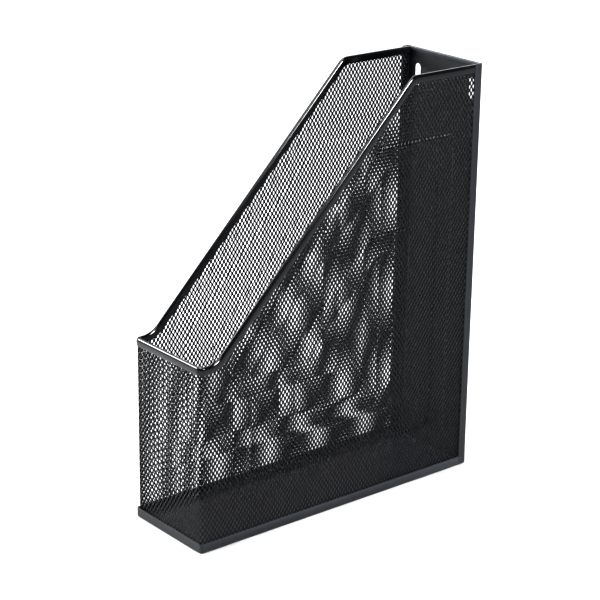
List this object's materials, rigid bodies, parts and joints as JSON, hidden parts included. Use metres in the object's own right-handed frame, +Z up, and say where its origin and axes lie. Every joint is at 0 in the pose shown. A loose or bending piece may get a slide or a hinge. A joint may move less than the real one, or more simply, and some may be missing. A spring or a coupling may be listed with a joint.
{
  "type": "magazine file holder",
  "caption": "Upright open-topped magazine file with mesh sides and front, a sloping rolled rim, a pressed base pan and a solid back with hanging slots.",
  "frame": {"origin": "centre of the footprint, on the surface that the holder stands on", "axes": "+Z up, +Y towards the tall back, -Y towards the low front, +X to the holder's right seen from the front"},
  "size_m": [0.08, 0.258, 0.32],
  "materials": {
    "pressed_steel": "satin black powder coat on pressed sheet steel",
    "mesh_steel": "black powder coat on expanded steel mesh",
    "rim_steel": "gloss black enamel on a rolled steel channel"
  },
  "bodies": {
    "root": {"base_pan": "pressed_steel", "back_panel": "pressed_steel", "mesh_wall": "mesh_steel", "top_rim": "rim_steel"}
  },
  "joints": []
}
